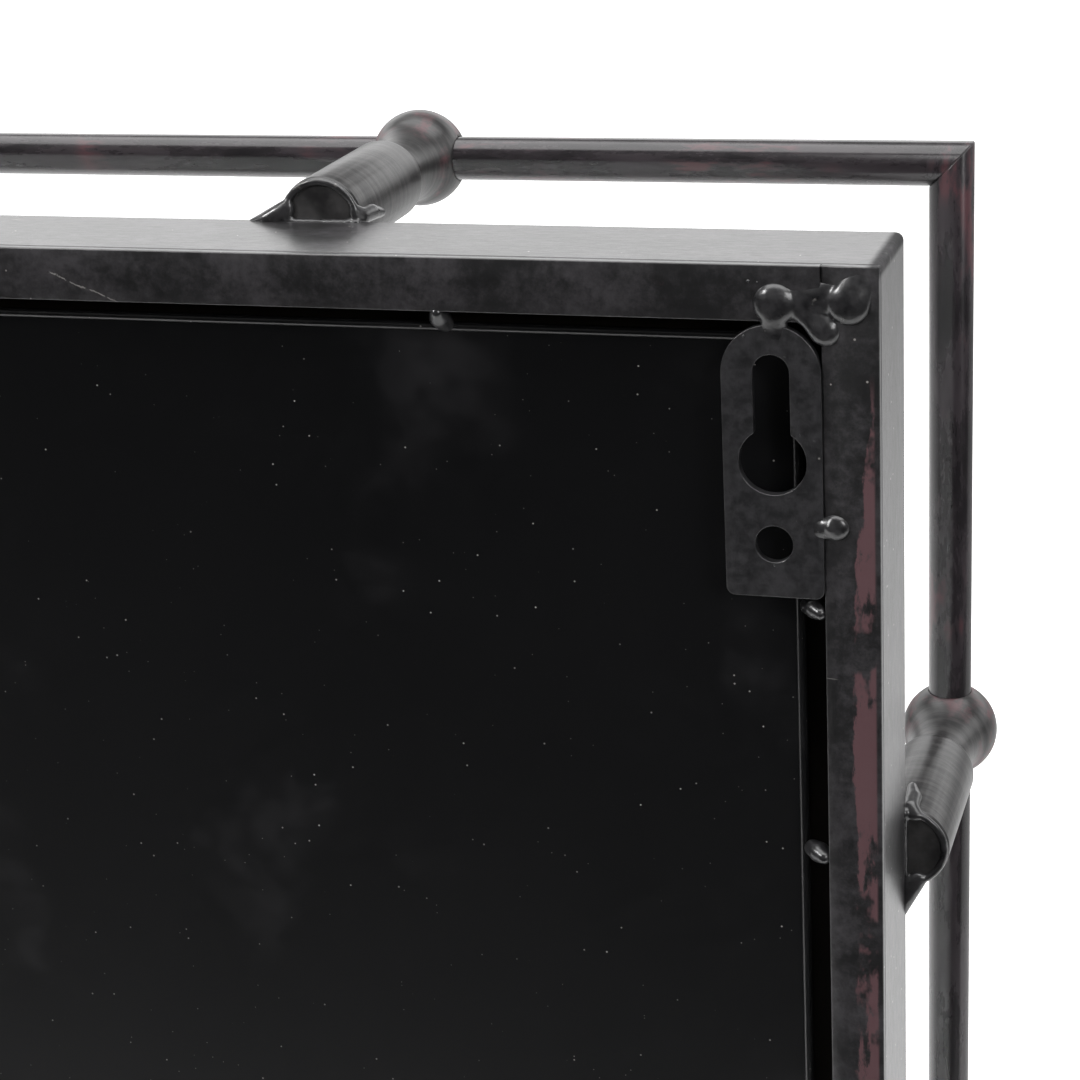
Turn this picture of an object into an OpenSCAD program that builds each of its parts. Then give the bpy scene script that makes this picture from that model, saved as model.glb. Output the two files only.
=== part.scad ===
/* Wall mirror in a welded steel frame, with a round-bar rail carried on turned posts.
   Axes: X to the right seen from the front, Y towards the wall, Z up.
   Origin: on the wall plane, midway between the two small screw holes of the hangers. */

/* [Frame] */
// Outer width of the frame
frame_w = 500; // [400:10:700]
// Outer height of the frame
frame_h = 700; // [500:10:1000]
// Depth of the frame, from wall plane to front face
frame_d = 28.5; // [26:0.5:34]
// Width of the front lip and of the back bars
face_w = 11.4; // [10:0.2:14]
// Thickness of the sheet that forms the side walls and the lip
sheet_t = 1.5; // [1:0.1:2]

/* [Mirror] */
// Thickness of the mirror glass
glass_t = 4; // [3:0.5:6]
// Depth of the back panel below the wall plane
panel_recess = 8; // [7:0.5:10]
// Gap between the back panel and the top and bottom bars
gap_top = 5; // [4:0.5:7]
// Gap between the back panel and the side bars
gap_side = 6.5; // [4:0.5:8]

/* [Rail] */
// Diameter of the round bar
rod_dia = 10; // [8:0.5:12]
// Diameter of the post's cylindrical foot
foot_dia = 18.4; // [17:0.2:19]
// Diameter of the ball on the post
ball_dia = 22.4; // [21:0.2:24]
// Smallest diameter of the post's neck
neck_dia = 12.8; // [12:0.2:14]
// Distance from the frame's front face to the rail's centreline
rail_reach = 62.5; // [56:0.5:70]
// Distance from a corner to the nearest post, along the top and the bottom
post_inset_top = 125; // [90:1:150]
// Distance from a corner to the nearest post, down the sides
post_inset_side = 137; // [90:1:150]

/* [Hangers] */
// Width of a hanger plate
hanger_w = 20; // [18:0.5:22]
// Length of a hanger plate
hanger_l = 56.6; // [55:0.2:62]
// Thickness of a hanger plate
hanger_t = 2; // [1.5:0.1:2.5]
// Width of the keyhole's slot
slot_w = 7.4; // [6:0.1:8]
// Diameter of the keyhole's entry hole
entry_dia = 13.7; // [13:0.1:14]
// Diameter of the small screw hole
screw_dia = 7.7; // [5:0.1:8]

/* [Hidden] */
$fn = 64;
black = [0.07, 0.07, 0.075];
weld_grey = [0.12, 0.12, 0.13];

bar_t = 2;                       // back bars, laid on the rear edge of the side walls
toe_w = 3.4;                     // bevelled inner toe of a back bar
toe_drop = 0.5;
tape_t = 0.5;                    // glazing tape between lip and glass
tape_w = 8;
edge_play = 1;                   // room round the glass inside the side walls
silver_gap = 0.05;
silver_t = 0.25;
silver_inset = 0.5;              // silvering stands back from the glass's edge, and the board as far again
board_t = 3;
panel_t = 1;
hem_r = 1;                       // rolled hem round the back panel
spacer_w = 14;
spacer_inset = 6;                // spacers stand back from the panel's edge

hanger_drop = 0.5;               // from the top back bar to the hanger's top
slot_top = 6;                    // from the hanger's top to the slot's end
entry_drop = 28;                 // from the hanger's top to the entry hole's centre
screw_drop = 45.3;               // from the hanger's top to the screw hole's centre
corner_r = 1.8;

top_z = face_w + hanger_drop + screw_drop;   // frame's top edge above the origin
mid_z = top_z - frame_h / 2;
inner_w = frame_w - 2 * sheet_t;
inner_h = frame_h - 2 * sheet_t;
glass_w = inner_w - 2 * edge_play;
glass_h = inner_h - 2 * edge_play;
glass_front = -frame_d + sheet_t + tape_t;
glass_back = glass_front + glass_t;
board_front = glass_back + silver_gap + silver_t;
board_back = board_front + board_t;
panel_front = -panel_recess - panel_t;
panel_w = frame_w - 2 * (face_w + gap_side);
panel_h = frame_h - 2 * (face_w + gap_top);
hanger_x = frame_w / 2 - face_w - hanger_w / 2;
rail_y = -frame_d - rail_reach;

rail_out = 0.2;                  // the rail's centreline stands this far outside the frame
foot_r = foot_dia / 2;
ball_r = ball_dia / 2;
foot_chamfer = 1;
bore_play = 0.1;
cove_r = 40;                     // hollow curve from the waist up to the ball
cove_c = neck_dia / 2 + cove_r;  // its centre, out from the post's axis
crease = 0.2;                    // how far the hollow curve cuts into the ball
cove_s = rail_reach - sqrt(pow(cove_r + ball_r - crease, 2) - pow(cove_c, 2));
touch_r = cove_c * ball_r / (cove_r + ball_r);        // just inside the ball, where the neck ends
ball_cover = 1;                  // how far the hollow curve runs on inside the ball
touch_s = rail_reach - (rail_reach - cove_s) * ball_r / (cove_r + ball_r) + ball_cover;
turn_r = 4;                      // rounded shoulder between the foot and the waist
turn_c = foot_r - turn_r;
turn_s = cove_s - 0.9 * turn_r;  // set back, so that the shoulder ends in a crease at the waist
turn_steps = 6;
weld_r = 3.4;

tack_r = 1.9;
tack_air = 0.4;                  // left between a drop of weld and the panel's hem
side_tacks = [72, 127, frame_h / 3, frame_h / 2, frame_h * 2 / 3, frame_h - 127, frame_h - 72];
top_tacks = [90, frame_w / 2, frame_w - 90];          // from the left edge

SIDES = ["top", "right", "bottom", "left"];
// Each post: its name, its side, and whether it stands before, at or after the side's middle
POSTS = [["top_left", 0, -1], ["top_right", 0, 1],
         ["right_upper", 1, -1], ["right_middle", 1, 0], ["right_lower", 1, 1],
         ["bottom_right", 2, -1], ["bottom_left", 2, 1],
         ["left_lower", 3, -1], ["left_middle", 3, 0], ["left_upper", 3, 1]];

// ---- shared shapes ----

// Length of side s: 0 top, 1 right, 2 bottom, 3 left
function side_len(s, w, h) = s % 2 == 0 ? w : h;

// Puts a child drawn as the top side, with its outer edge at z = 0, on side s of a w by h rectangle
module on_side(s, w, h) {
    translate([0, 0, mid_z])
        rotate([0, 90 * s, 0])
            translate([0, 0, side_len(s, h, w) / 2])
                children();
}

// A plate in the XZ plane from y0 to y1, with its outer edge at z = 0 and mitred ends
module mitred_plate(len, height, y0, y1) {
    translate([0, y1, 0])
        rotate([90, 0, 0])
            linear_extrude(y1 - y0)
                polygon([[-len / 2, 0], [len / 2, 0], [len / 2 - height, -height], [height - len / 2, -height]]);
}

// A flat rectangular sheet centred on the frame, from y0 to y1
module sheet(w, h, y0, y1) {
    translate([-w / 2, y0, mid_z - h / 2])
        cube([w, y1 - y0, h]);
}

// ---- frame ----

// One side of the frame: the side wall and the front lip, bent from one sheet
module frame_side(s) {
    len = side_len(s, frame_w, frame_h);
    color(black)
        on_side(s, frame_w, frame_h)
            union() {
                mitred_plate(len, sheet_t, -frame_d, -bar_t);
                mitred_plate(len, face_w, -frame_d, -frame_d + sheet_t);
            }
}

// A flat bar on the frame's rear edge; the side bars run full height and the others fit between
module back_bar(s) {
    len = s % 2 == 1 ? frame_h : frame_w - 2 * face_w;
    color(black)
        on_side(s, frame_w, frame_h)
            translate([-len / 2, 0, 0])
                rotate([90, 0, 90])
                    linear_extrude(len)
                        polygon([[-bar_t, 0], [0, 0], [0, toe_w - face_w],
                                 [-toe_drop, -face_w], [-bar_t, -face_w]]);
}

// ---- mirror and its backing ----

module glazing_tape() {
    color([0.04, 0.04, 0.04])
        difference() {
            sheet(glass_w, glass_h, -frame_d + sheet_t, glass_front);
            sheet(inner_w - 2 * tape_w, inner_h - 2 * tape_w, -frame_d, glass_front + 1);
        }
}

module mirror_glass() {
    color([0.8, 0.86, 0.84, 0.4])
        sheet(glass_w, glass_h, glass_front, glass_back);
}

module mirror_silvering() {
    color([0.85, 0.86, 0.87])
        sheet(glass_w - 2 * silver_inset, glass_h - 2 * silver_inset, glass_back + silver_gap, board_front);
}

module backing_board() {
    color([0.1, 0.09, 0.08])
        sheet(glass_w - 4 * silver_inset, glass_h - 4 * silver_inset, board_front, board_back);
}

// A wooden batten between the board and the back panel
module spacer(s) {
    w = panel_w - 2 * spacer_inset;
    h = panel_h - 2 * spacer_inset;
    color([0.12, 0.09, 0.06])
        on_side(s, w, h)
            mitred_plate(side_len(s, w, h), spacer_w, board_back, panel_front);
}

// The steel back panel, with a rolled hem all round
module back_panel() {
    color(black)
        union() {
            sheet(panel_w, panel_h, panel_front, -panel_recess);
            for (s = [0 : 3])
                on_side(s, panel_w, panel_h) {
                    len = side_len(s, panel_w, panel_h);
                    translate([-len / 2, -panel_recess, 0])
                        rotate([0, 90, 0])
                            cylinder(h = len, r = hem_r);
                    translate([len / 2, -panel_recess, 0])
                        sphere(r = hem_r);
                }
        }
}

// A drop of weld that slopes down a gap, from a back bar's inner edge to the panel's hem
module panel_tack(gap) {
    across = gap - hem_r - tack_air;
    down = panel_recess - bar_t - hem_r - tack_air - tack_r;
    translate([0, -bar_t - 0.2, -face_w - 0.2])
        rotate([180 - atan2(down, across), 0, 0])
            cylinder(h = norm([across, down]), r1 = tack_r, r2 = tack_r * 0.6);
}

module panel_tacks() {
    color(weld_grey) {
        for (s = [0, 2], at = top_tacks)
            on_side(s, frame_w, frame_h)
                translate([at - frame_w / 2, 0, 0])
                    panel_tack(gap_top);
        for (s = [1, 3], at = side_tacks)
            on_side(s, frame_w, frame_h)
                translate([at - frame_h / 2, 0, 0])
                    panel_tack(gap_side);
    }
}

// ---- hangers ----

module hanger_outline() {
    r = hanger_w / 2;
    union() {
        translate([0, -r])
            circle(r = r);
        translate([-r, -hanger_l + corner_r])
            square([hanger_w, hanger_l - r - corner_r]);
        translate([-r + corner_r, -hanger_l])
            square([hanger_w - 2 * corner_r, corner_r]);
        for (side = [-1, 1])
            translate([side * (r - corner_r), -hanger_l + corner_r])
                circle(r = corner_r);
    }
}

// A keyhole plate; side is -1 for the left one and 1 for the right one, seen from the front
module hanger(side) {
    slot_end = slot_top + slot_w / 2;
    color(black)
        translate([side * hanger_x, 0, screw_drop])
            rotate([90, 0, 0])
                linear_extrude(hanger_t)
                    difference() {
                        hanger_outline();
                        translate([0, -slot_end])
                            circle(d = slot_w);
                        translate([-slot_w / 2, -entry_drop])
                            square([slot_w, entry_drop - slot_end]);
                        translate([0, -entry_drop])
                            circle(d = entry_dia);
                        translate([0, -screw_drop])
                            circle(d = screw_dia);
                    }
}

// A drop of weld on the wall plane, with its centre x and z from the hanger's top
module weld_drop(x, z, r, h) {
    translate([x, 0, z])
        rotate([-90, 0, 0])
            cylinder(h = h, r1 = r, r2 = r * 0.6);
}

// Welds that hold a hanger to the top bar and to the side bar
module hanger_welds(side) {
    color(weld_grey)
        translate([side * hanger_x, 0, screw_drop]) {
            weld_drop(0, 3.4, 4.1, 1.6);
            weld_drop(side * 8.6, 1.4, 3, 1.2);
            weld_drop(side * 15.6, 5, 3.6, 1.4);
            weld_drop(side * 12.4, -41.2, 2.8, 1.3);
        }
}

// ---- rail ----

// One round bar of the rail, mitred to its neighbours
module rod(s) {
    len = side_len(s, frame_w, frame_h) + 2 * rail_out;
    r = rod_dia / 2;
    color([0.1, 0.09, 0.095])
        on_side(s, frame_w + 2 * rail_out, frame_h + 2 * rail_out)
            difference() {
                translate([-len / 2 - r, rail_y, 0])
                    rotate([0, 90, 0])
                        cylinder(h = len + 2 * r, r = r);
                for (end = [-1, 1])
                    translate([end * len / 2, rail_y, 0])
                        rotate([0, end * 45, 0])
                            translate([end > 0 ? 0 : -4 * r, -2 * r, -4 * r])
                                cube([4 * r, 4 * r, 8 * r]);
            }
}

// Half the outline of a post: foot, rounded shoulder and the hollow curve from the waist up to the ball
module post_outline() {
    shoulder = [for (i = [0 : turn_steps])
        [turn_c + turn_r * cos(90 * i / turn_steps), turn_s + turn_r * sin(90 * i / turn_steps)]];
    union() {
        polygon(concat([[0, 0], [foot_r - foot_chamfer, 0], [foot_r, foot_chamfer]], shoulder,
                       [[0, turn_s + turn_r]]));
        difference() {
            translate([0, turn_s])
                square([touch_r, touch_s - turn_s]);
            translate([cove_c, cove_s])
                circle(r = cove_r, $fn = 128);
        }
    }
}

// A turned post along -Y from the origin, its ball bored for the rail along X
module post_shape() {
    rotate([90, 0, 0])
        difference() {
            union() {
                rotate_extrude()
                    post_outline();
                translate([0, 0, rail_reach])
                    sphere(r = ball_r);
            }
            translate([-ball_dia, 0, rail_reach])
                rotate([0, 90, 0])
                    cylinder(h = 2 * ball_dia, r = rod_dia / 2 + bore_play);
        }
}

// Puts a child where post p stands, at height out above the frame's side wall
module on_post(p, out) {
    s = p[1];
    half = side_len(s, frame_w / 2 - post_inset_top, frame_h / 2 - post_inset_side);
    on_side(s, frame_w + 2 * out, frame_h + 2 * out)
        translate([p[2] * half, -frame_d, 0])
            children();
}

module post(p) {
    color(black)
        on_post(p, rail_out)
            post_shape();
}

// Two beads behind each post's foot, on the frame's side wall
module post_welds() {
    color(weld_grey)
        for (p = POSTS, end = [-1, 1])
            on_post(p, 0)
                translate([end * (foot_r - 1), 0, 0])
                    intersection() {
                        sphere(r = weld_r);
                        translate([-weld_r, 0, 0])
                            cube([2 * weld_r, weld_r, weld_r]);
                    }
}

for (s = [0 : 3]) {
    frame_side(s);
    back_bar(s);
    spacer(s);
    rod(s);
}
for (p = POSTS)
    post(p);
glazing_tape();
mirror_glass();
mirror_silvering();
backing_board();
back_panel();
panel_tacks();
hanger(-1);  // hanger_left
hanger(1);  // hanger_right
hanger_welds(-1);  // hanger_welds_left
hanger_welds(1);  // hanger_welds_right
post_welds();
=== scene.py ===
"""The looks of a wall mirror in a welded black steel frame, with a round-bar rail on turned posts.

Metres, in the frame of the CAD model: X to the right seen from the front, Y towards the wall, Z up.
"""

import math

import bmesh
import bpy
from mathutils import Euler, Matrix, Vector, noise


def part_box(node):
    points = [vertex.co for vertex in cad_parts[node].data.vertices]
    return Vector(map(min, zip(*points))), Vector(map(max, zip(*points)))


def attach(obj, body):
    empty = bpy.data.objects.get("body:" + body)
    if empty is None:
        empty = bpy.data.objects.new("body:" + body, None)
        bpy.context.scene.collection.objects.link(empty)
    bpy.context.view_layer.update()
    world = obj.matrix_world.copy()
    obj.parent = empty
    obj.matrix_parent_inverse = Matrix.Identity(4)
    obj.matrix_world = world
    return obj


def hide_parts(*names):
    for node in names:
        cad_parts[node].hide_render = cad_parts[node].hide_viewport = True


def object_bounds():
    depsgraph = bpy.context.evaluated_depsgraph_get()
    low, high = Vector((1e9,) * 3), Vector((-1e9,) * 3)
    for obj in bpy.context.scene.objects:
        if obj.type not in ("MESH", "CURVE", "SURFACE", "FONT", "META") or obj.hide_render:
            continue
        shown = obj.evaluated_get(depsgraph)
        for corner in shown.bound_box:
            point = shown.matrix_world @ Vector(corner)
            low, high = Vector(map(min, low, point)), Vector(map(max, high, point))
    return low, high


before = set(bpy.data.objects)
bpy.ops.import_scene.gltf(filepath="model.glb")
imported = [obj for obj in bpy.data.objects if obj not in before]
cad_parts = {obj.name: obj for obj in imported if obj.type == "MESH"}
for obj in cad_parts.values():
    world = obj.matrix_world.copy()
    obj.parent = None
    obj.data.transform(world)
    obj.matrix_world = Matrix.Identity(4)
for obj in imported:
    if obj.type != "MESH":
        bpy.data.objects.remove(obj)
cad_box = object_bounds()

MM = 0.001
SENSOR = 36.0

# Camera, from the frame's rear upper left corner: it looks at the back from above and outside
CAMERA_OFFSET = Vector((-0.0812, 0.4568, 0.1197))
CAMERA_TURN = Euler((math.radians(69.589), math.radians(3.072), math.radians(-162.779)))
CAMERA_LENS = 83.3333

# Corners and edges of the frame, read from the CAD model
shell_low, shell_high = [v.copy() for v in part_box("frame_left")]
shell_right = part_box("frame_right")[1].x
LEFT, RIGHT = shell_low.x, shell_right
TOP, BOTTOM = shell_high.z, shell_low.z
FRONT, BACK = shell_low.y, 0.0
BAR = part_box("back_bar_left")[1].x - LEFT
PANEL = [v.copy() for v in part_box("back_panel")]
MIDDLE = Vector((0, 0, (TOP + BOTTOM) / 2))

BALL_RADIUS = 11.2 * MM
FOOT_RADIUS = 9.2 * MM
HEM = 2.2 * MM                # width of the panel's rolled edge
GLASS_CLEARANCE = 1 * MM      # between the glass and the sheet of the frame
CORNER_RADIUS = 1.6 * MM      # of the frame's ground corners
CORNER_STEPS = 6
SIDE_BAND = 25 * MM           # closer than this to the outer edge is part of an upright side
JOIN_GAP = 1e-6

# Widths of the rounded edges
SHELL_EDGE = 0.45 * MM
PLATE_EDGE = 0.7 * MM
BAR_EDGE = 0.3 * MM

# Weld metal
WELD_VOXEL = 0.26 * MM
WELD_RAGGED = 0.06 * MM
BALLS_BETWEEN = 5
RIM_BALLS = 13

SIDES = ("top", "right", "bottom", "left")
POSTS = [n for n in sorted(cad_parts) if n.startswith("post_") and n != "post_welds"]


# ---- node helpers ----

class Shader:
    """A Principled material whose inputs are built from procedural nodes, in object coordinates."""

    def __init__(self, name, roughness=0.4, specular=0.5, metallic=0.0, coat=0.0, coat_roughness=0.1):
        self.material = bpy.data.materials.new(name)
        self.material.use_nodes = True
        self.tree = self.material.node_tree
        self.bsdf = self.tree.nodes["Principled BSDF"]
        self.bsdf.inputs["Roughness"].default_value = roughness
        self.bsdf.inputs["Specular IOR Level"].default_value = specular
        self.bsdf.inputs["Metallic"].default_value = metallic
        self.bsdf.inputs["Coat Weight"].default_value = coat
        self.bsdf.inputs["Coat Roughness"].default_value = coat_roughness
        self.place = self.new("ShaderNodeTexCoord").outputs["Object"]

    def new(self, kind, **settings):
        node = self.tree.nodes.new(kind)
        for key, value in settings.items():
            setattr(node, key, value)
        return node

    def put(self, socket, value):
        if isinstance(value, bpy.types.NodeSocket):
            self.tree.links.new(value, socket)
        elif isinstance(value, (tuple, list)) and len(value) == 3 and socket.type == "RGBA":
            socket.default_value = (*value, 1.0)
        else:
            socket.default_value = value

    def math(self, operation, a, b=0.0):
        node = self.new("ShaderNodeMath", operation=operation)
        for socket, value in zip(node.inputs, (a, b)):
            self.put(socket, value)
        return node.outputs[0]

    def stretched(self, stretch):
        """Object coordinates multiplied by stretch: the larger it is, the shorter the pattern."""
        node = self.new("ShaderNodeVectorMath", operation="MULTIPLY")
        self.put(node.inputs[0], self.place)
        node.inputs[1].default_value = stretch
        return node.outputs[0]

    def noise(self, scale, detail=4.0, rough=0.55, stretch=(1, 1, 1), distort=0.0):
        node = self.new("ShaderNodeTexNoise")
        self.put(node.inputs["Vector"], self.stretched(stretch))
        node.inputs["Scale"].default_value = scale
        node.inputs["Detail"].default_value = detail
        node.inputs["Roughness"].default_value = rough
        node.inputs["Distortion"].default_value = distort
        return node.outputs["Fac"]

    def cells(self, scale, stretch=(1, 1, 1)):
        """Distance to, and random number of, the nearest scattered point."""
        node = self.new("ShaderNodeTexVoronoi")
        self.put(node.inputs["Vector"], self.stretched(stretch))
        node.inputs["Scale"].default_value = scale
        return node.outputs["Distance"], self.channel(node.outputs["Color"], 0)

    def channel(self, vector, index):
        node = self.new("ShaderNodeSeparateXYZ")
        self.put(node.inputs[0], vector)
        return node.outputs[index]

    def step(self, value, low, high, out_low=0.0, out_high=1.0):
        """value taken smoothly from out_low to out_high as it goes from low to high."""
        node = self.new("ShaderNodeMapRange", interpolation_type="SMOOTHSTEP")
        for socket, v in zip(node.inputs, (value, low, high, out_low, out_high)):
            self.put(socket, v)
        return node.outputs[0]

    def times(self, *values):
        result = values[0]
        for value in values[1:]:
            result = self.math("MULTIPLY", result, value)
        return result

    def plus(self, *values):
        result = values[0]
        for value in values[1:]:
            result = self.math("ADD", result, value)
        return result

    def mix(self, mask, a, b):
        node = self.new("ShaderNodeMix", data_type="RGBA")
        colours = [s for s in node.inputs if s.type == "RGBA"]
        self.put(node.inputs["Factor"], mask)
        self.put(colours[0], a)
        self.put(colours[1], b)
        return [s for s in node.outputs if s.type == "RGBA"][0]

    def bump(self, height, strength, distance):
        node = self.new("ShaderNodeBump")
        node.inputs["Strength"].default_value = strength
        node.inputs["Distance"].default_value = distance
        self.put(node.inputs["Height"], height)
        self.put(self.bsdf.inputs["Normal"], node.outputs[0])
        self.put(self.bsdf.inputs["Coat Normal"], node.outputs[0])

    def specks(self, scale, radius, share, stretch=(1, 1, 1)):
        """Mask of small dots: radius in cells, on the given share of the cells."""
        distance, pick = self.cells(scale, stretch)
        dot = self.step(distance, radius, radius * 0.5)
        return self.times(dot, self.math("LESS_THAN", pick, share))

    def colour(self, value):
        self.put(self.bsdf.inputs["Base Color"], value)

    def roughness(self, value):
        self.put(self.bsdf.inputs["Roughness"], value)

    def coat(self, value):
        self.put(self.bsdf.inputs["Coat Weight"], value)


PRIMER = (0.105, 0.046, 0.053)
MAUVE = (0.062, 0.034, 0.039)
# Light grey of dust, scuffs and scratches; on the welds it is also the colour of painted glints.
DUST_AND_GLINT_GREY = (0.34, 0.32, 0.30)
LINT = (0.70, 0.67, 0.64)


def scratch(s, start, end, half_width=0.00022):
    """Mask of one wavering scratch on the rear face, from start to end, both (x, z)."""
    length = (end - start).length
    along = (end - start) / length
    across = Vector((-along.y, along.x))
    x = s.math("SUBTRACT", s.channel(s.place, 0), start.x)
    z = s.math("SUBTRACT", s.channel(s.place, 2), start.y)
    t = s.plus(s.times(x, along.x), s.times(z, along.y))
    waver = s.times(s.math("SUBTRACT", s.noise(220, 4, 0.6), 0.5), 0.0028)
    d = s.math("ABSOLUTE", s.plus(s.times(x, across.x), s.times(z, across.y), waver))
    ends = s.times(s.step(t, 0.0, 0.001), s.step(t, length, length - 0.001))
    return s.times(s.step(d, half_width, half_width * 0.4), ends, s.step(s.noise(900, 3), 0.40, 0.50))


def frame_lacquer():
    """Satin black on the frame's shell and back bars, rubbed to a mauve primer by the outer edges."""
    s = Shader("satin_black_frame", specular=0.6, coat_roughness=0.22)
    x = s.math("ABSOLUTE", s.channel(s.place, 0))
    y = s.channel(s.place, 1)
    z = s.channel(s.place, 2)
    down = s.math("SUBTRACT", TOP, z)
    rear = s.step(y, -0.0032, -0.0016)
    strip_width = s.step(down, 0.020, 0.075, 0.0008, 0.0046)
    inner_limit = s.math("SUBTRACT", RIGHT - 0.0010, strip_width)
    ragged = s.times(s.math("SUBTRACT", s.noise(260, 6, 0.7, (1.0, 1.0, 0.30)), 0.5), 0.006)
    inside = s.step(s.math("SUBTRACT", s.plus(x, ragged), inner_limit), 0.0, 0.0004)
    off_edge = s.step(x, RIGHT - 0.0008, RIGHT - 0.0014)
    flakes = s.noise(170, 7, 0.70, (1.0, 1.0, 0.30))
    breaks = s.step(s.noise(55, 5, 0.65, (1.0, 1.0, 0.6)), 0.44, 0.50)
    worn = s.times(rear, inside, off_edge, s.step(flakes, 0.60, 0.53), s.step(down, 0.020, 0.032), breaks)
    rubs = s.times(s.step(s.noise(60, 8, 0.7), 0.64, 0.72), rear)
    cloud = s.noise(90, 7, 0.68, (0.5, 1.0, 0.5))
    fine = s.noise(750, 5, 0.75, (0.6, 1.0, 0.6))
    tone = s.step(s.plus(s.times(cloud, 0.65), s.times(fine, 0.35)), 0.42, 0.64)
    base = s.mix(tone, (0.0040, 0.0038, 0.0044), (0.042, 0.039, 0.043))
    base = s.mix(s.times(rubs, 0.5), base, MAUVE)
    base = s.mix(s.times(worn, 0.9), base, PRIMER)
    dust = s.specks(420, 0.13, 0.05)
    scuffs = s.specks(60, 0.07, 0.25, (0.55, 1.0, 9.0))
    base = s.mix(s.times(s.plus(dust, s.times(scuffs, 0.35)), 0.8), base, DUST_AND_GLINT_GREY)
    score_start = Vector((LEFT + 0.1765, TOP - 0.0047))
    score_end = Vector((LEFT + 0.1599, TOP - 0.0114))
    score = s.times(scratch(s, score_start, score_end), rear)
    base = s.mix(s.times(score, 0.5), base, DUST_AND_GLINT_GREY)
    s.colour(base)
    ground = s.times(s.step(x, RIGHT - 0.0030, RIGHT - 0.0012), s.step(z, TOP - 0.0030, TOP - 0.0012))
    ground = s.times(ground, s.step(s.noise(300, 5, 0.7), 0.30, 0.46))
    grain = s.noise(900, 3, 0.6, (0.25, 1.0, 0.25))
    speckle = s.noise(2600, 2, 0.7)
    s.coat(s.times(s.step(speckle, 0.40, 0.62, 0.88, 0.70), s.math("SUBTRACT", 1.0, ground)))
    wear = s.plus(s.times(worn, 0.2), s.times(ground, 0.3))
    s.roughness(s.plus(0.34, s.times(grain, 0.14), s.times(cloud, 0.12), wear))
    texture = s.plus(s.times(grain, 0.6), s.noise(140, 5, 0.6), s.times(fine, 0.4))
    s.bump(s.plus(texture, s.times(scuffs, -0.6), s.times(score, -1.2)), 0.30, 0.00022)
    return s.material


def panel_lacquer():
    """Smooth near-black sheet with faint smudges, dust and hairline scratches."""
    s = Shader("smooth_black_panel", specular=0.42)
    smudge = s.step(s.noise(17, 4, 0.6), 0.56, 0.78)
    cloud = s.noise(6, 3, 0.5)
    base = s.mix(s.step(cloud, 0.3, 0.7), (0.0026, 0.0027, 0.0032), (0.0046, 0.0046, 0.0052))
    base = s.mix(s.times(smudge, 0.55), base, (0.0150, 0.0140, 0.0165))
    dust = s.specks(330, 0.085, 0.30)
    fine = s.specks(800, 0.12, 0.05)
    hair = s.specks(26, 0.018, 0.12, (0.5, 1.0, 11.0))
    down = s.specks(24, 0.014, 0.10, (13.0, 1.0, 0.5))
    marks = s.plus(s.times(dust, 0.55), s.times(fine, 0.40), s.times(hair, 0.25), s.times(down, 0.12))
    s.colour(s.mix(marks, base, LINT))
    x = s.math("ABSOLUTE", s.channel(s.place, 0))
    z = s.math("ABSOLUTE", s.math("SUBTRACT", s.channel(s.place, 2), MIDDLE.z))
    half_width, half_height = PANEL[1].x, PANEL[1].z - MIDDLE.z
    hem_x = s.step(x, half_width - HEM, half_width - HEM / 2)
    hem_z = s.step(z, half_height - HEM, half_height - HEM / 2)
    s.coat(s.math("MAXIMUM", hem_x, hem_z))
    s.roughness(s.plus(0.30, s.times(smudge, 0.18), s.times(s.noise(300, 3), 0.08)))
    s.bump(s.plus(s.noise(9, 3, 0.5), s.times(s.noise(420, 4, 0.6), 0.05)), 0.12, 0.0008)
    return s.material


def plate_lacquer():
    """Black over stamped steel, bruised and dimpled, on the hangers."""
    s = Shader("dented_black_plate", specular=0.65, coat=0.8, coat_roughness=0.14)
    bruise = s.noise(190, 6, 0.65)
    dent = s.noise(520, 4, 0.6)
    pits = s.specks(700, 0.16, 0.08)
    tone = s.step(s.plus(s.times(bruise, 0.5), s.times(dent, 0.5)), 0.38, 0.64)
    base = s.mix(tone, (0.0110, 0.0110, 0.0120), (0.036, 0.035, 0.038))
    base = s.mix(s.times(s.specks(420, 0.12, 0.06), 0.7), base, DUST_AND_GLINT_GREY)
    s.colour(base)
    s.roughness(s.plus(0.30, s.times(bruise, 0.22)))
    s.bump(s.plus(s.times(bruise, 1.6), s.times(dent, 0.6), s.times(pits, -0.9)), 0.45, 0.00024)
    return s.material


def weld_lacquer():
    """Lacquer over welded drops: glossy and lumpy, with a few light grey patches painted as glints."""
    s = Shader("lacquered_weld", specular=0.7, coat=0.5, coat_roughness=0.16)
    lumps = s.noise(420, 5, 0.6)
    # Painted highlight: light grey patches on the welds stand in for glints of light.
    painted_glint = s.step(s.noise(300, 5, 0.7), 0.62, 0.70)
    base = s.mix(s.step(lumps, 0.3, 0.7), (0.010, 0.010, 0.011), (0.034, 0.033, 0.035))
    base = s.mix(s.times(painted_glint, 0.35), base, DUST_AND_GLINT_GREY)
    s.colour(base)
    s.roughness(s.plus(0.20, s.times(lumps, 0.22)))
    s.bump(s.plus(lumps, s.times(s.noise(1100, 3), 0.25)), 0.22, 0.0002)
    return s.material


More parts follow.
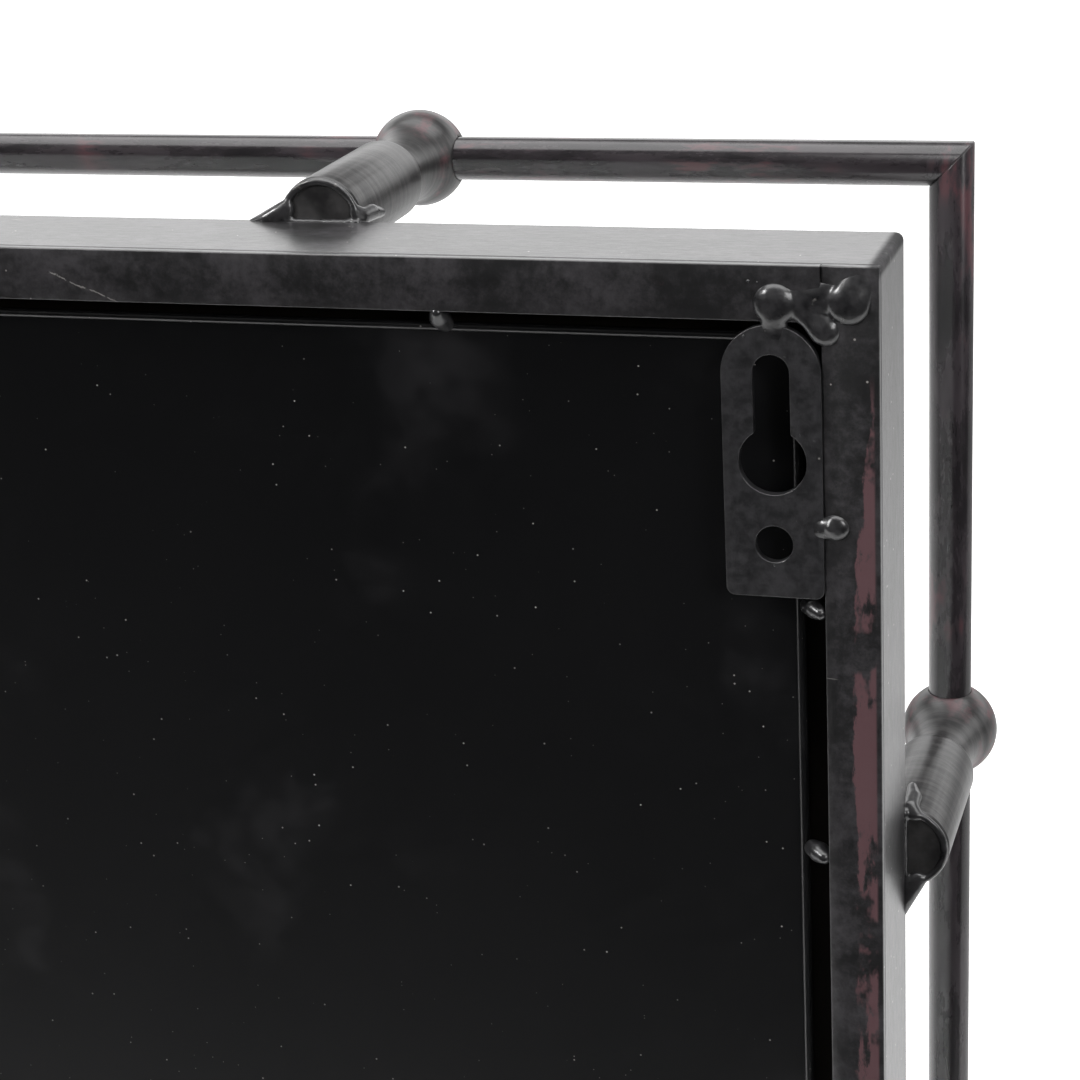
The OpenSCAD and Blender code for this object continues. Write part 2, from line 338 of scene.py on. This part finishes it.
def rail_lacquer():
    """Thin black on the round bars, with long soft scuffs and mauve patches."""
    s = Shader("thin_black_rail", specular=0.5, coat=0.45, coat_roughness=0.22)
    long_x = s.noise(150, 6, 0.66, (0.22, 1.0, 1.0))
    long_z = s.noise(150, 6, 0.66, (1.0, 1.0, 0.22))
    upright = s.step(s.math("ABSOLUTE", s.channel(s.place, 0)), RIGHT - 0.006, RIGHT - 0.004)
    scuff = s.plus(s.times(long_x, s.math("SUBTRACT", 1.0, upright)), s.times(long_z, upright))
    patch = s.times(s.step(scuff, 0.53, 0.60), s.step(s.noise(30, 3), 0.50, 0.60))
    base = s.mix(s.step(scuff, 0.35, 0.65), (0.012, 0.0105, 0.0120), (0.046, 0.038, 0.043))
    base = s.mix(s.times(patch, 0.85), base, PRIMER)
    s.colour(base)
    s.roughness(s.plus(0.14, s.times(scuff, 0.26)))
    s.bump(s.plus(scuff, s.times(s.noise(800, 3), 0.3)), 0.10, 0.00018)
    return s.material


def post_lacquer(name, centre):
    """Black over turned steel: lathe rings along Y, and mauve rubbed through on the ball."""
    s = Shader(name, specular=0.62)
    wobble = s.times(s.noise(60, 3), 0.9)
    y = s.channel(s.place, 1)
    rings = s.noise(1.0, 6, 0.75, (110, 3200, 110))
    broad = s.noise(1.0, 4, 0.7, (90, 700, 90))
    ball = s.step(y, centre.y + 0.013, centre.y + 0.005)
    patch = s.times(s.step(s.noise(150, 6, 0.68), 0.50, 0.64), ball)
    tone = s.step(s.plus(broad, s.times(wobble, 0.15)), 0.4, 0.75)
    base = s.mix(tone, (0.010, 0.0095, 0.0100), (0.052, 0.050, 0.050))
    base = s.mix(s.times(s.step(rings, 0.60, 0.74), 0.30), base, (0.16, 0.155, 0.15))
    base = s.mix(s.times(patch, 0.9), base, PRIMER)
    s.colour(base)
    s.roughness(s.plus(0.22, s.times(rings, 0.18), s.times(patch, 0.10)))
    s.bump(s.plus(s.times(rings, 0.6), s.times(s.noise(500, 3), 0.15)), 0.22, 0.00014)
    return s.material


def float_glass():
    s = Shader("float_glass", roughness=0.0)
    s.bsdf.inputs["Transmission Weight"].default_value = 1.0
    s.bsdf.inputs["IOR"].default_value = 1.5
    s.colour(s.mix(s.step(s.noise(40, 3), 0.4, 0.8), (0.975, 0.992, 0.985), (0.955, 0.982, 0.972)))
    s.roughness(s.step(s.noise(14, 5, 0.6), 0.62, 0.85, 0.004, 0.03))
    return s.material


def silvering():
    s = Shader("silvering", metallic=1.0)
    s.colour(s.mix(s.step(s.noise(9, 4), 0.3, 0.8), (0.93, 0.935, 0.93), (0.89, 0.90, 0.895)))
    s.roughness(s.step(s.noise(35, 5), 0.55, 0.85, 0.006, 0.025))
    return s.material


def fibre_board():
    s = Shader("dark_fibre_board", roughness=0.7, specular=0.3)
    fibre = s.noise(700, 6, 0.7, (1, 1, 0.4))
    s.colour(s.mix(fibre, (0.012, 0.009, 0.007), (0.030, 0.022, 0.016)))
    s.bump(fibre, 0.3, 0.0002)
    return s.material


def softwood():
    s = Shader("stained_batten", roughness=0.7, specular=0.2)
    along = s.noise(60, 6, 0.6, (0.15, 1.0, 0.15), 0.6)
    rings = s.noise(420, 4, 0.6, (0.06, 1.0, 0.06))
    tone = s.plus(s.times(along, 0.6), s.times(rings, 0.4))
    s.colour(s.mix(tone, (0.004, 0.0035, 0.003), (0.012, 0.010, 0.008)))
    s.bump(rings, 0.25, 0.0003)
    return s.material


def foam_tape():
    s = Shader("black_foam_tape", roughness=0.85, specular=0.25)
    pores = s.noise(1600, 3, 0.6)
    s.colour(s.mix(pores, (0.012, 0.012, 0.012), (0.035, 0.035, 0.035)))
    s.bump(pores, 0.5, 0.0002)
    return s.material


def pale_floor():
    s = Shader("pale_floor", roughness=0.75, specular=0.2)
    s.colour(s.mix(s.noise(3, 3), (0.90, 0.90, 0.90), (0.93, 0.93, 0.93)))
    s.bsdf.inputs["Emission Color"].default_value = (1, 1, 1, 1)
    seen = s.new("ShaderNodeLightPath").outputs["Is Camera Ray"]
    s.put(s.bsdf.inputs["Emission Strength"], s.step(seen, 0.0, 1.0, 0.10, 1.0))
    return s.material


# ---- pieces ----

def finish_piece(piece, material, nodes):
    """Gives a new piece its material and its body, and lets it stand for its CAD nodes."""
    piece.data.materials.clear()
    piece.data.materials.append(material)
    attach(piece, "root")
    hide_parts(*nodes)
    return piece


def new_object(name, mesh):
    piece = bpy.data.objects.new(name, mesh)
    bpy.context.scene.collection.objects.link(piece)
    return piece


def apply_modifiers(piece):
    """Turns a piece's modifiers into its mesh."""
    graph = bpy.context.evaluated_depsgraph_get()
    shaped = piece.evaluated_get(graph)
    mesh = bpy.data.meshes.new_from_object(shaped, preserve_all_data_layers=True, depsgraph=graph)
    piece.modifiers.clear()
    piece.data = mesh


def from_node(name, node):
    """A new mesh with a CAD node's shape, with doubled points merged and flat areas as single faces."""
    bm = bmesh.new()
    bm.from_mesh(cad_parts[node].data)
    bmesh.ops.remove_doubles(bm, verts=bm.verts, dist=JOIN_GAP)
    bmesh.ops.dissolve_limit(bm, angle_limit=math.radians(0.5), verts=bm.verts, edges=bm.edges)
    mesh = bpy.data.meshes.new(name)
    bm.to_mesh(mesh)
    bm.free()
    return new_object(name, mesh)


def bevel(piece, width, segments=3, angle=30):
    """Rounds a piece's sharp edges, and shades the rest flat."""
    modifier = piece.modifiers.new("edge", "BEVEL")
    modifier.width = width
    modifier.segments = segments
    modifier.limit_method = "ANGLE"
    modifier.angle_limit = math.radians(angle)
    modifier.harden_normals = True
    for polygon in piece.data.polygons:
        polygon.use_smooth = True
    apply_modifiers(piece)


def rounded_copy(node, width, material, segments=3):
    """A CAD node's shape with rounded edges."""
    piece = from_node(node + "_rounded", node)
    bevel(piece, width, segments)
    return finish_piece(piece, material, [node])


def shell_ring(material):
    """The four bent sides as one shell, its corners welded and ground smooth."""
    def section(inset, y):
        radius = max(CORNER_RADIUS - inset, 0.1 * MM)
        points = []
        for quarter, (sx, sz) in enumerate(((1, 1), (-1, 1), (-1, -1), (1, -1))):
            centre_x = sx * (RIGHT - inset - radius)
            centre_z = MIDDLE.z + sz * (TOP - MIDDLE.z - inset - radius)
            for i in range(CORNER_STEPS):
                angle = math.radians(90 * (quarter + i / (CORNER_STEPS - 1)))
                x = centre_x + radius * math.cos(angle)
                z = centre_z + radius * math.sin(angle)
                points.append(Vector((x, y, z)))
        return points

    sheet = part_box("frame_top")[1].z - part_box("mirror_glass")[1].z - GLASS_CLEARANCE
    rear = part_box("frame_top")[1].y
    lip = FRONT + sheet
    outline = [(0, rear), (0, FRONT), (BAR, FRONT), (BAR, lip), (sheet, lip), (sheet, rear)]
    bm = bmesh.new()
    loops = [[bm.verts.new(p) for p in section(inset, y)] for inset, y in outline]
    for i, loop in enumerate(loops):
        following = loops[(i + 1) % len(loops)]
        for j in range(len(loop)):
            k = (j + 1) % len(loop)
            bm.faces.new((loop[j], following[j], following[k], loop[k]))
    bmesh.ops.recalc_face_normals(bm, faces=bm.faces)
    mesh = bpy.data.meshes.new("frame_shell")
    bm.to_mesh(mesh)
    bm.free()
    piece = new_object("frame_shell", mesh)
    bevel(piece, SHELL_EDGE, 3, 50)
    return finish_piece(piece, material, ["frame_" + side for side in SIDES])


def strand_balls(strand):
    """A strand's balls, with more balls put in between each two so that it is smooth."""
    result = [strand[0]]
    for (start, start_radii), (end, end_radii) in zip(strand, strand[1:]):
        for i in range(1, BALLS_BETWEEN + 1):
            t = i / BALLS_BETWEEN
            radii = [a + (b - a) * t for a, b in zip(start_radii, end_radii)]
            result.append((start.lerp(end, t), radii))
    return result


def melted(strands):
    """Strands of balls, each ball a centre and three radii, melted into one smooth lump."""
    bm = bmesh.new()
    for centre, radii in [ball for strand in strands for ball in strand_balls(strand)]:
        place = Matrix.Translation(centre) @ Matrix.Diagonal((*radii, 1.0))
        bmesh.ops.create_icosphere(bm, subdivisions=3, radius=1.0, matrix=place)
    mesh = bpy.data.meshes.new("lump")
    bm.to_mesh(mesh)
    bm.free()
    lump = new_object("lump", mesh)
    melt = lump.modifiers.new("melt", "REMESH")
    melt.mode = "VOXEL"
    melt.voxel_size = WELD_VOXEL
    flow = lump.modifiers.new("flow", "SMOOTH")
    flow.factor = 0.6
    flow.iterations = 12
    apply_modifiers(lump)
    result = lump.data
    bpy.data.objects.remove(lump)
    return result


def drops(name, clusters, material, node):
    """Weld metal: each cluster of strands is melted into one slightly ragged lump."""
    bm = bmesh.new()
    for strands in clusters:
        bm.from_mesh(melted(strands))
    mesh = bpy.data.meshes.new(name)
    bm.to_mesh(mesh)
    bm.free()
    piece = new_object(name, mesh)
    normals = [vertex.normal.copy() for vertex in mesh.vertices]
    for vertex, normal in zip(mesh.vertices, normals):
        wave = noise.noise(vertex.co * 330) + 0.35 * noise.noise(vertex.co * 900)
        vertex.co += normal * wave * WELD_RAGGED
    for polygon in mesh.polygons:
        polygon.use_smooth = True
    return finish_piece(piece, material, [node])


def on_back(side, across, down, y=0.0):
    """A point across mm from the outer side edge and down mm from the top. side is -1 left, 1 right."""
    x = LEFT + across * MM if side < 0 else RIGHT - across * MM
    return Vector((x, y * MM, TOP - down * MM))


def hanger_drops(side, name, material):
    """The run of weld that ties a hanger to the top bar and the side bar."""
    def ball(across, down, y, rx, ry, rz):
        return on_back(side, across, down, y), (rx * MM, ry * MM, rz * MM)
    dome = [ball(20.5, 14.6, -1.25, 4.2, 1.3, 1.8), ball(20.7, 12.2, -0.9, 2.7, 1.35, 1.7),
            ball(20.5, 9.6, -0.5, 3.1, 1.8, 2.4), ball(20.3, 7.7, -0.4, 4.4, 1.95, 4.3)]
    ridge = [ball(18.0, 7.6, -1.0, 2.8, 1.6, 3.4), ball(14.0, 7.0, -1.3, 3.2, 1.7, 3.8),
             ball(9.2, 6.6, -1.2, 3.4, 1.7, 3.9)]
    lobe = [ball(6.0, 7.2, -0.3, 4.4, 1.85, 4.4), ball(5.0, 4.8, -0.8, 4.0, 1.6, 3.2),
            ball(4.0, 3.0, -1.1, 3.6, 1.4, 2.5)]
    tongue = [ball(15.6, 9.0, -1.3, 2.4, 1.5, 2.6), ball(13.0, 10.6, -1.1, 2.8, 1.6, 2.6),
              ball(10.6, 13.0, -0.9, 3.3, 2.0, 3.1)]
    side_bead = [ball(13.2, 53.6, -1.2, 1.4, 1.15, 3.6), ball(11.4, 53.4, -0.8, 1.7, 1.4, 2.2),
                 ball(8.9, 53.0, -0.5, 2.9, 1.6, 2.8)]
    nipple = [ball(9.9, 53.0, 0.2, 1.3, 1.1, 1.3), ball(9.6, 53.0, 0.1, 1.3, 1.1, 1.3)]
    spatter = [[[ball(25.4, 3.2, -0.1, 0.6, 0.45, 0.5)]], [[ball(23.6, 3.4, -0.1, 0.45, 0.4, 0.4)]],
               [[ball(25.0, 5.4, -0.1, 0.4, 0.35, 0.35)]], [[ball(26.6, 14.2, 0.0, 0.5, 0.4, 0.5)]]]
    clusters = [[dome, ridge, lobe, tongue], [side_bead, nipple], *spatter]
    return drops(name, clusters, material, "hanger_welds_" + ("left" if side < 0 else "right"))


def tack_centres():
    """Middles of the CAD model's drops of weld round the panel, always in the same order.

    The rounding is to whole millimetres, because the drops at the sides lie halfway between two tenths."""
    bm = bmesh.new()
    bm.from_mesh(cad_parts["panel_tacks"].data)
    bmesh.ops.remove_doubles(bm, verts=bm.verts, dist=JOIN_GAP)
    left = set(bm.verts)
    centres = []
    for start in bm.verts:
        if start not in left:
            continue
        left.remove(start)
        island, stack = [], [start]
        while stack:
            vertex = stack.pop()
            island.append(vertex)
            for edge in vertex.link_edges:
                other = edge.other_vert(vertex)
                if other in left:
                    left.remove(other)
                    stack.append(other)
        centres.append(sum((v.co for v in island), Vector()) / len(island))
    bm.free()
    return sorted(centres, key=lambda c: (round(c.x, 3), round(c.z, 3)))


def nearest_side(place):
    """Whether a place is by an upright side of the frame, and the direction out of that side."""
    if abs(place.x) > RIGHT - SIDE_BAND:
        return True, Vector((math.copysign(1, place.x), 0, 0))
    return False, Vector((0, 0, math.copysign(1, place.z - MIDDLE.z)))


def panel_drops(material):
    """Tacks of weld that bridge the gap between the panel's hem and the back bars."""
    clusters = []
    for i, centre in enumerate(tack_centres()):
        upright, outward = nearest_side(centre)
        along = Vector((0, 0, 1)) if upright else Vector((1, 0, 0))
        size = 1.0 + 0.25 * noise.noise(Vector((i * 3.7, 0.5, 0.5)))
        steps = ((1.6, -1.7, 0.0, 1.5), (0.2, -3.4, 0.2, 2.2), (-1.6, -5.4, -0.1, 1.8))
        balls = []
        for out, y, slide, radius in steps:
            point = centre + outward * out * MM + along * slide * MM
            point.y = y * MM
            balls.append((point, (radius * size * MM,) * 3))
        clusters.append([balls])
    return drops("panel_tacks_melted", clusters, material, "panel_tacks")


def foot_place(node):
    """Where a post meets the frame's front edge, and the directions along and out of that side."""
    low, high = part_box(node)
    centre = (low + high) / 2
    upright, outward = nearest_side(centre)
    if upright:
        return Vector((math.copysign(RIGHT, centre.x), FRONT, centre.z)), Vector((0, 0, -1)), outward
    edge = Vector((centre.x, FRONT, TOP if centre.z > MIDDLE.z else BOTTOM))
    return edge, Vector((1 if centre.x < 0 else -1, 0, 0)), outward


def foot_drops(material):
    """Weld at each post's foot: a tail to one side and a short ragged bead to the other."""
    clusters = []
    for node in POSTS:
        edge, along, outward = foot_place(node)

        def ball(slide, out, y, long_r, tall_r, deep_r):
            """A ball slid along the wall from the post's axis and out of it, y mm from the post's end."""
            point = edge + (along * slide + outward * out + Vector((0, y, 0))) * MM
            radii = [(abs(a) * long_r + abs(b) * tall_r) * MM for a, b in zip(along, outward)]
            radii[1] = deep_r * MM
            return point, radii

        rim_radius = FOOT_RADIUS / MM - 0.7
        angles = [math.radians(8 + 164 * i / (RIM_BALLS - 1)) for i in range(RIM_BALLS)]
        rim = [ball(rim_radius * math.cos(a), rim_radius * math.sin(a), 0.1, 0.85, 0.85, 0.7)
               for a in angles]
        tail = [ball(7.4, 2.6, 0.3, 1.6, 2.2, 1.1), ball(9.6, 1.4, 0.4, 1.9, 2.2, 1.5),
                ball(12.2, 0.4, 0.5, 1.9, 1.7, 1.6), ball(15.2, -0.4, 0.5, 1.5, 0.9, 1.2)]
        bead = [ball(-7.8, 2.0, 0.1, 1.2, 1.9, 1.0), ball(-9.2, 0.9, -1.4, 1.6, 1.8, 1.6),
                ball(-9.9, 1.0, -4.6, 1.7, 1.8, 1.7), ball(-10.2, 0.2, -7.6, 1.7, 1.2, 1.6)]
        seam = [ball(8.0, -0.2, 0.5, 1.6, 0.9, 1.0), ball(0.0, -0.3, 0.3, 2.0, 0.8, 0.9),
                ball(-8.0, -0.2, 0.5, 1.6, 0.9, 1.0)]
        clusters.append([rim, tail, bead, seam])
    return drops("post_welds_melted", clusters, material, "post_welds")


def paint(node, material):
    """Gives a CAD node that stays a procedural material."""
    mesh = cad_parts[node].data
    mesh.materials.clear()
    mesh.materials.append(material)


def build_pieces():
    black = frame_lacquer()
    shell_ring(black)
    for side in SIDES:
        rounded_copy("back_bar_" + side, BAR_EDGE, black)
    paint("back_panel", panel_lacquer())
    plate = plate_lacquer()
    for side in ("left", "right"):
        rounded_copy("hanger_" + side, PLATE_EDGE, plate, 4)
    weld = weld_lacquer()
    hanger_drops(-1, "hanger_welds_left_melted", weld)
    hanger_drops(1, "hanger_welds_right_melted", weld)
    panel_drops(weld)
    foot_drops(weld)
    rail = rail_lacquer()
    for side in SIDES:
        rounded_copy("rod_" + side, BAR_EDGE, rail, 2)
    for node in POSTS:
        low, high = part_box(node)
        ball = Vector(((low.x + high.x) / 2, low.y + BALL_RADIUS, (low.z + high.z) / 2))
        rounded_copy(node, BAR_EDGE, post_lacquer("turned_" + node, ball), 2)
    paint("mirror_glass", float_glass())
    paint("mirror_silvering", silvering())
    paint("backing_board", fibre_board())
    wood = softwood()
    for side in SIDES:
        paint("spacer_" + side, wood)
    paint("glazing_tape", foam_tape())


# ---- studio ----

def floor():
    """A pale floor under the object and in front of it, as far as half a metre past the wall plane."""
    size, behind = 30.0, 0.5
    bm = bmesh.new()
    bmesh.ops.create_grid(bm, x_segments=12, y_segments=12, size=size / 2)
    bmesh.ops.translate(bm, verts=bm.verts, vec=(0, behind - size / 2, cad_box[0][2]))
    mesh = bpy.data.meshes.new("floor")
    bm.to_mesh(mesh)
    bm.free()
    plane = new_object("floor", mesh)
    mesh.materials.append(pale_floor())


def surroundings():
    """The room that the lacquer reflects: a white sweep in front, dark above it and on the wall's side.

    Rays from the camera see plain white instead."""
    world = bpy.data.worlds.new("studio")
    bpy.context.scene.world = world
    world.use_nodes = True
    tree = world.node_tree
    tree.nodes.clear()
    link = tree.links.new
    direction = tree.nodes.new("ShaderNodeTexCoord").outputs["Generated"]
    split = tree.nodes.new("ShaderNodeSeparateXYZ")
    link(direction, split.inputs[0])

    def ramp(source, low, high, out_low, out_high):
        node = tree.nodes.new("ShaderNodeMapRange")
        node.interpolation_type = "SMOOTHSTEP"
        link(source, node.inputs[0])
        for socket, value in zip(node.inputs[1:5], (low, high, out_low, out_high)):
            socket.default_value = value
        return node.outputs[0]

    def times(a, b):
        node = tree.nodes.new("ShaderNodeMath")
        node.operation = "MULTIPLY"
        link(a, node.inputs[0])
        link(b, node.inputs[1])
        return node.outputs[0]

    ahead = ramp(split.outputs[1], -0.30, 0.20, 1.0, 0.06)
    sweep = ramp(split.outputs[2], 0.40, 0.62, 1.0, 0.16)
    fall = ramp(split.outputs[2], -0.02, 0.20, 0.20, 1.75)
    lit = tree.nodes.new("ShaderNodeBackground")
    link(times(times(ahead, sweep), fall), lit.inputs["Strength"])
    seen = tree.nodes.new("ShaderNodeBackground")
    seen.inputs["Strength"].default_value = 1.0
    for shader in (lit, seen):
        shader.inputs["Color"].default_value = (1, 1, 1, 1)
    path = tree.nodes.new("ShaderNodeLightPath")
    mix = tree.nodes.new("ShaderNodeMixShader")
    link(path.outputs["Is Camera Ray"], mix.inputs[0])
    link(lit.outputs[0], mix.inputs[1])
    link(seen.outputs[0], mix.inputs[2])
    output = tree.nodes.new("ShaderNodeOutputWorld")
    link(mix.outputs[0], output.inputs[0])


def softbox(name, place, target, size, power, mirrored=True):
    data = bpy.data.lights.new(name, "AREA")
    data.shape = "RECTANGLE"
    data.size, data.size_y = size
    data.energy = power
    lamp = bpy.data.objects.new(name, data)
    bpy.context.scene.collection.objects.link(lamp)
    lamp.location = place
    lamp.rotation_euler = (Vector(target) - Vector(place)).to_track_quat("-Z", "Y").to_euler()
    lamp.visible_camera = False
    lamp.visible_glossy = mirrored


def camera():
    data = bpy.data.cameras.new("camera")
    data.sensor_width = SENSOR
    data.lens = CAMERA_LENS
    data.clip_start = 0.01
    data.clip_end = 100.0
    eye = bpy.data.objects.new("camera", data)
    bpy.context.scene.collection.objects.link(eye)
    eye.location = Vector((LEFT, BACK, TOP)) + CAMERA_OFFSET
    eye.rotation_euler = CAMERA_TURN
    bpy.context.scene.camera = eye


bpy.context.scene.view_settings.view_transform = "Standard"
camera()
build_pieces()
floor()
surroundings()
softbox("overhead", (-0.2, 0.1, TOP + 1.5), (-0.2, 0.1, TOP), (2.4, 1.8), 44)
softbox("rear_right", (-1.6, 1.6, TOP + 0.9), (LEFT, 0, TOP - 0.1), (0.7, 0.9), 15)
softbox("rear_left", (1.5, 1.3, TOP + 1.2), (LEFT, 0, TOP - 0.1), (0.4, 0.6), 24)
softbox("front_fill", (1.1, -2.6, 0.9), (0, 0, MIDDLE.z), (1.6, 1.6), 20, False)
